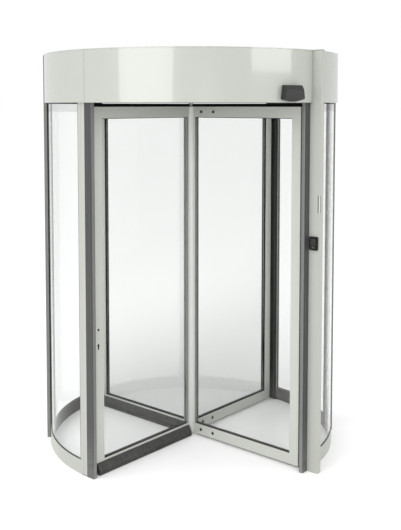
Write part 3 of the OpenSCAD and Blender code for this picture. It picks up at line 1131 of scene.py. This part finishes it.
@dataclass(frozen=True)
class WingUnit:
    """One wing with frame, glass, seals, brushes, bumper and clamps, and the lock of the front left one."""

    maker: Maker
    wing: Wing
    half: float = 19.0
    foot: float = 14.0
    top: float = 2077.0
    rail: float = 64.0
    glass_in_r: float = 49.87
    glass_out_r: float = 771.0
    wing_r: float = 831.0
    brush_r: float = 850.0
    brush_top: float = 2095.0
    brush_foot: float = 4.0
    brush_in_r: float = 15.0
    carrier: float = 5.0
    carrier_half: float = 4.5
    film_half: float = 0.9
    tuft_pitch: float = 3.2
    hub_r: float = 42.87
    bumper_z: Pair = (3.0, 65.0)
    bumper_sill: float = 27.0
    bumper_d: float = 28.0
    glass_half: float = 5.0
    clamps: Pair = (99.0, 195.0)
    clamp_hole_r: float = 6.95
    clamp_flange_r: float = 9.2
    clamp_depth: float = 7.6
    lock_z: float = 740.0
    lock_r: float = 811.0
    lock_depth: float = 13.2
    plug_r: float = 8.1
    bolt_z: float = 829.0

    def put(self, label: str, shape: Shape, finish: str, node: str | None = None, second: str | None = None) -> None:
        """Make a piece on this wing.

        Args:
            label: Name of the piece, without the wing's.
            shape: Its mesh, on a wing at the front.
            finish: Finish of the piece.
            node: CAD node that it stands for, without the wing's name.
            second: Finish of the faces with material index 1.
        """
        name = self.wing.name.lower()
        self.maker.piece(f"{label}_{name}", turn(shape, self.wing.value), finish, node and f"{node}_{name}", second)

    @property
    def opening(self) -> Pair:
        """Heights of the foot and head of the glass opening."""
        return self.foot + self.rail, self.top - self.rail

    def frame(self) -> None:
        """Make the frame from its CAD shape, with corner joints and painted shade in the hub channel."""
        low, high = self.opening
        shape = turn(node_copy(f"wing_frame_{self.wing.name.lower()}"), -self.wing.value)
        ease(shape, 0.9, 2, 50.0, 6.0)
        for facing in ((1, 0, 0), (-1, 0, 0)):
            score(shape, (0, -self.glass_out_r, 0), (0, 1, 0), facing, 0.9, 0.9)
        for z in (low, high):
            cut_across(shape, (0, 0, z), (0, 0, 1))
        # The hub channel's walls get painted shade.
        mark(shape, lambda n, c: -self.glass_in_r - 0.5 < c.y and low < c.z < high and abs(n.y) > 0.7)
        self.put("wing_profile", shape, "wing_profile", "wing_frame", "channel_shade")

    def glass(self) -> None:
        """Make the pane and the wedge seals on both its faces, with painted shade on the seals' hub-side strips."""
        (low, high), g, r0, r1 = self.opening, self.glass_half, self.glass_in_r, self.glass_out_r
        pane = ease(block((-g, g), (r0 + 1, r1 - 1), (low + 1, high - 1)), 0.8)
        self.put("wing_pane", pane, "wing_glass", "wing_glass")
        seals = []
        for side in (1, -1):
            seal = bmesh.new()
            corners = [(r0, low), (r1, low), (r1, high), (r0, high)]
            face = seal.faces.new([seal.verts.new((side * (self.half - 2.0), -r, z)) for r, z in corners])
            face.normal_update()
            if face.normal.x * side < 0:
                bmesh.ops.reverse_faces(seal, faces=[face])
            inset(seal, face, (1.0, 0), use_boundary=True, use_even_offset=True)
            inset(seal, face, (2.6, -(self.half - g - 4.0)), use_even_offset=True)
            inset(seal, face, (0.2, -2.0))
            bmesh.ops.delete(seal, geom=[face], context="FACES_ONLY")
            bmesh.ops.bridge_loops(seal, edges=[e for e in seal.edges if e.is_boundary])
            # The seal's hub-side strip gets painted shade.
            seals.append(mark(seal, lambda n, c: c.y > -(r0 + 4)))
        self.put("wing_seals", joined(seals), "gasket_rubber", second="channel_shade")

    def tufts(self, start: Point, step: Point, count: int, length: float, lean: float) -> Shape:
        """Make one row of bristle tufts.

        Args:
            start: Root of the first tuft.
            step: Way to the next one.
            count: Number of tufts.
            length: Length of a tuft.
            lean: Turn from upright about the sideways axis, in degrees.

        Returns:
            The row.
        """
        tuft = bmesh.new()
        bmesh.ops.create_cone(
            tuft, cap_ends=True, segments=4, radius1=1.5, radius2=1.1, depth=length,
            matrix=Matrix.Translation((0, 0, length / 2)),
        )
        return row(shift(turn(tuft, lean, "X"), *start), step, count)

    def brush(self) -> None:
        """Make the brush strips at the top, the outer edge and the foot."""
        pitch, edge, hub, foot, top = self.tuft_pitch, self.wing_r, self.glass_in_r, self.foot, self.top
        low, high, thick, start_r = self.brush_foot, self.brush_top, self.carrier, self.brush_in_r
        outer, wide, thin = edge + thick, (-self.carrier_half, self.carrier_half), (-self.film_half, self.film_half)
        parts = [
            block(wide, (edge, outer), (foot, top + thick)),
            block(wide, (start_r, outer), (top, top + thick)),
            block(wide, (hub, outer), (foot - 4, foot)),
            block(thin, (edge + 4, self.brush_r - 1), (low + 1, high - 1)),
            block(thin, (start_r + 0.5, outer), (top + 4, high - 1)),
            block(thin, (hub + 1, outer), (low + 1, foot - 3)),
        ]
        for x, lag in ((-2.0, 0.0), (2.0, pitch / 2)):
            for start, step, span, length, lean in (
                ((x, -edge - 4, low + 2 + lag), (0, 0, pitch), high - low - 4, self.brush_r - edge - 4, 90.0),
                ((x, -start_r - 2 - lag, top + 4), (0, -pitch, 0), edge - start_r - 3, high - top - 4, 0.0),
                ((x, -hub - 2 - lag, foot - 3), (0, -pitch, 0), edge - hub - 4, foot - 3 - low, 180.0),
            ):
                parts.append(self.tufts(start, step, int(span / pitch), length, lean))
        self.put("wing_brush_strips", joined(parts), "brush", "wing_brush")

    def bumper(self) -> None:
        """Make the foot bumper: sloping cover, ribbed lip and top seal."""
        x, inner, (low, high), sill = self.half, self.hub_r + 4.0, self.bumper_z, self.bumper_sill
        face, groove, back = x + self.bumper_d, x + self.bumper_d - 1, x + self.bumper_d - 6
        cover = along_wing([
            (x, low), (x, high), (x + 4.6, high), (x + 5.4, high - 0.6), (face - 0.6, sill + 1.6), (face - 0.6, sill),
            (back, sill), (back, low),
        ], inner, self.wing_r)
        self.put("bumper_cover", ease(cover, 0.6, 2), "bumper_rubber", "bumper")
        lip = along_wing([
            (back, low), (back, sill - 0.4), (groove, sill - 0.4), (face, 25.6), (face, 19), (groove, 18.4),
            (groove, 17.4), (face, 16.8), (face, 11), (groove, 10.4), (groove, 9.4), (face, 8.8), (face, 4),
            (groove, low),
        ], inner + 0.5, self.wing_r - 0.5)
        strip = [(x, high), (x + 3, high), (x + 2.4, high + 1), (x, high + 1)]
        seal = along_wing(strip, inner + 0.5, self.wing_r - 0.5)
        self.put("bumper_lip", joined([lip, seal]), "gasket_rubber")

    def clamp_sleeves(self) -> None:
        """Set a dark flanged sleeve into each clamp hole."""
        sleeves, hole = [], self.clamp_hole_r
        grow = self.clamp_flange_r / hole
        for z in (self.foot + self.rail / 2, self.top - self.rail / 2):
            for r in self.clamps:
                sleeve = disc(hole, 0, self.clamp_depth)
                flange = pulled(sleeve, largest(sleeve, (0, 0, 1)))
                bmesh.ops.scale(sleeve, vec=(grow, grow, 1), verts=flange.verts)
                flange = pulled(sleeve, flange)
                bmesh.ops.translate(sleeve, vec=(0, 0, 0.7), verts=flange.verts)
                inset(sleeve, flange, (0.6, 0.3), (3.6, 0), (0.05, -5.0))
                sleeves.append(shift(turn(sleeve, -90, "Y"), -self.half + self.clamp_depth + 0.02, -r, z))
        self.put("clamp_screws", joined(sleeves), "screw_black")

    def lock(self) -> None:
        """Fit the lock cylinder and the sleeve of the bolt hole."""
        x, r, z, by = self.half, self.lock_r, self.lock_z, self.wing.value
        back, front = x - self.lock_depth, x - 1.2
        plug = shift(turn(disc(self.plug_r, 0, front - back, 40), 90, "Y"), back, -r, z)
        lobe = block((back, front), (r - 4.6, r + 4.6), (z - 24.5, z - 7))
        self.maker.piece("lock_cylinder", turn(ease(joined([plug, lobe]), 0.4), by), "screw_black")
        rings = []
        for radius, height, foot, bore in ((4.9, 4.5, x - 4.8, (1.1, -3.5)), (7.4, 0.7, x + 0.02, (3.6, -0.5))):
            ring = disc(radius, 0, height, 28)
            inset(ring, largest(ring, (0, 0, 1)), (bore[0], 0), (0.05, bore[1]))
            rings.append(shift(turn(ring, 90, "Y"), foot, -r, self.bolt_z))
        self.maker.piece("bolt_sleeve", turn(joined(rings), by), "screw_black")
        keyway = block((x - 2.0, x - 1.0), (r - 0.8, r + 0.8), (z - 4, z + 4))
        self.maker.piece("lock_keyway", turn(keyway, by), "brush")

    def build(self) -> None:
        """Build the wing."""
        self.frame()
        self.glass()
        self.brush()
        self.bumper()
        self.clamp_sleeves()
        if self.wing is Wing.FRONT_LEFT:
            self.lock()


# ------------------------------------------------------------------------ studio


@dataclass(frozen=True)
class Softbox:
    """Square lamp that looks at a point on the door's axis."""

    name: str
    azimuth: float
    distance: float
    height: float
    size: Pair
    power: float
    aim: float = 1.2

    def build(self) -> None:
        """Hang the lamp."""
        lamp = bpy.data.lights.new(self.name, "AREA")
        lamp.shape = "RECTANGLE"
        lamp.size, lamp.size_y = self.size
        lamp.energy = self.power
        thing = bpy.data.objects.new(self.name, lamp)
        by = math.radians(self.azimuth)
        thing.location = (self.distance * math.sin(by), -self.distance * math.cos(by), self.height)
        thing.rotation_euler = (Vector((0, 0, self.aim)) - thing.location).to_track_quat("-Z", "Y").to_euler()
        bpy.context.scene.collection.objects.link(thing)


@dataclass(frozen=True)
class SkyLamp:
    """Wide soft lamp from above, the same over the whole floor."""

    name: str = "sky_lamp"
    azimuth: float = -35.0
    elevation: float = 62.0
    spread: float = 70.0
    strength: float = 1.05
    shadows: bool = True

    def build(self) -> None:
        """Hang the lamp."""
        lamp = bpy.data.lights.new(self.name, "SUN")
        lamp.energy = self.strength
        lamp.use_shadow = self.shadows
        lamp.angle = math.radians(self.spread)
        thing = bpy.data.objects.new(self.name, lamp)
        thing.rotation_euler = (math.radians(90.0 - self.elevation), 0.0, math.radians(self.azimuth))
        thing.visible_glossy = False
        bpy.context.scene.collection.objects.link(thing)


@dataclass(frozen=True)
class Studio:
    """Pale floor, soft lamps, white surroundings and the camera."""

    camera_at: Point = (-0.3622, -5.3311, 2.088)
    lens: float = 58.12
    pitch: float = 3.978
    yaw: float = -3.909
    shift: Pair = (0.01722, -0.19)
    view_end: float = 600.0
    floor_half: float = 250.0
    white: float = 1.0
    fill_left: float = 0.9
    fill_right: float = 0.78
    lamps: tuple[Softbox | SkyLamp, ...] = (
        Softbox("key_lamp", -35.0, 5.2, 2.9, (3.7, 2.6), 86.0),
        Softbox("strip_lamp", 6.0, 6.2, 1.05, (0.7, 1.9), 20.0),
        Softbox("right_lamp", 54.0, 5.6, 3.2, (3.4, 1.6), 52.0),
        SkyLamp(),
        SkyLamp("floor_lamp", 0.0, 90.0, 20.0, 0.45, False),
    )
    floor_finish: SolidFinish = SolidFinish(
        "floor_finish", (0.93, 0.93, 0.93), 0.3, relief=0.00001, spread=0.01, scuff=0.0,
    )

    def floor(self, kit: ShaderKit) -> None:
        """Lay the floor.

        Args:
            kit: The shared shader groups.
        """
        shape = bmesh.new()
        bmesh.ops.create_grid(shape, x_segments=4, y_segments=4, size=self.floor_half)
        mesh = bpy.data.meshes.new("studio_floor")
        shape.to_mesh(mesh)
        shape.free()
        mesh.materials.append(self.floor_finish.build(kit))
        plane = bpy.data.objects.new("studio_floor", mesh)
        bpy.context.scene.collection.objects.link(plane)

    def surroundings(self) -> None:
        """Light the door from all round with plain white, a little less from the right."""
        world = bpy.data.worlds.new("studio")
        world.use_nodes = True
        net = Wiring(world.node_tree, {"background": world.node_tree.nodes["Background"]})
        net.fill("background", {"Color": (1.0, 1.0, 1.0, 1.0)})
        net.add("rays", "LightPath")
        net.add("around", "TexCoord")
        net.add("parts", "SeparateXYZ")
        levels = {"From Min": -1.0, "To Min": self.fill_left, "To Max": self.fill_right}
        net.add("fall", "MapRange", levels, interpolation_type="SMOOTHSTEP")
        net.add("level", "Mix", {"B": self.white}, data_type="FLOAT")
        net.link("""
            around.Generated > parts.0; parts.X > fall.Value; fall.0 > level.A; rays.Is Camera Ray > level.Factor
            level.0 > background.Strength
        """)
        bpy.context.scene.world = world

    def camera(self) -> None:
        """Set the camera."""
        data = bpy.data.cameras.new("camera")
        data.lens = self.lens
        data.sensor_width = 36.0
        data.shift_x, data.shift_y = self.shift
        data.clip_end = self.view_end
        thing = bpy.data.objects.new("camera", data)
        thing.location = self.camera_at
        thing.rotation_euler = (math.radians(90.0 - self.pitch), 0.0, math.radians(self.yaw))
        bpy.context.scene.collection.objects.link(thing)
        bpy.context.scene.camera = thing

    def build(self, kit: ShaderKit) -> None:
        """Set up the whole studio.

        Args:
            kit: The shared shader groups.
        """
        bpy.context.scene.view_settings.view_transform = "Standard"
        self.floor(kit)
        self.surroundings()
        for lamp in self.lamps:
            lamp.build()
        self.camera()


def main() -> None:
    """Build the door and its studio in order."""
    logging.basicConfig(level=logging.INFO, format="%(message)s")
    kit = ShaderKit.make()
    materials = {finish.name: finish.build(kit) for finish in FINISHES}
    drum, rotor, sizes = Maker(materials, Body.DRUM), Maker(materials, Body.ROTOR), DrumSizes()
    parts = [
        Canopy(drum, sizes),
        SideWall(drum, sizes, "right", 0.0),
        SideWall(drum, sizes, "left", 180.0),
        *(ThroatPost(drum, sizes, throat) for throat in Throat),
        ReaderStation(drum, sizes, Throat.FRONT_RIGHT, "front"),
        ReaderStation(drum, sizes, Throat.REAR_LEFT, "rear"),
        MotionSensor(drum, "front", 32.6),
        MotionSensor(drum, "rear", 212.6),
        Hub(rotor),
        *(WingUnit(rotor, wing) for wing in Wing),
    ]
    for part in parts:
        part.build()
    Studio().build(kit)


if __name__ == "__main__":
    main()
